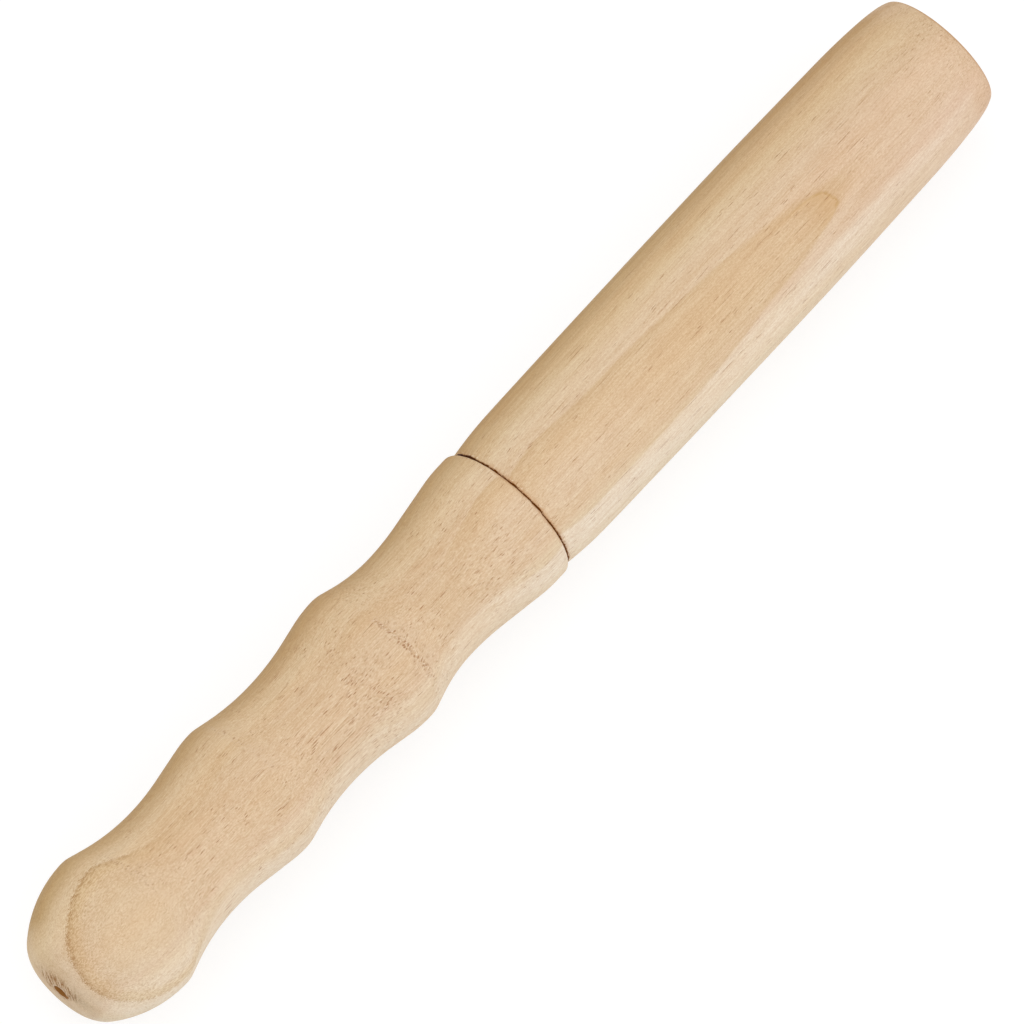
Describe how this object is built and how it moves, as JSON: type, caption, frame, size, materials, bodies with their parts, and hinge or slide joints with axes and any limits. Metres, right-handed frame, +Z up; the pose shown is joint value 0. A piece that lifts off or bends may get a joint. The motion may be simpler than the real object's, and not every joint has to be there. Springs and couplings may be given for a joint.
{
  "type": "singing bowl mallet",
  "caption": "Turned wooden mallet for striking and rubbing singing bowls: long rounded head with a flat end, glued by a tenon into a grip with finger swells.",
  "frame": {"origin": "on the surface that the mallet lies on, under the middle of its length", "axes": "+X along the mallet's axis from the rounded butt of the grip to the flat end of the head, +Z up"},
  "size_m": [0.2398, 0.0308, 0.0309],
  "materials": {
    "grip_wood": "pale close-grained hardwood, finely sanded, dry matt surface",
    "head_wood": "pale close-grained hardwood, finely sanded, dry matt surface"
  },
  "bodies": {
    "root": {"grip": "grip_wood", "head": "head_wood"}
  },
  "joints": []
}
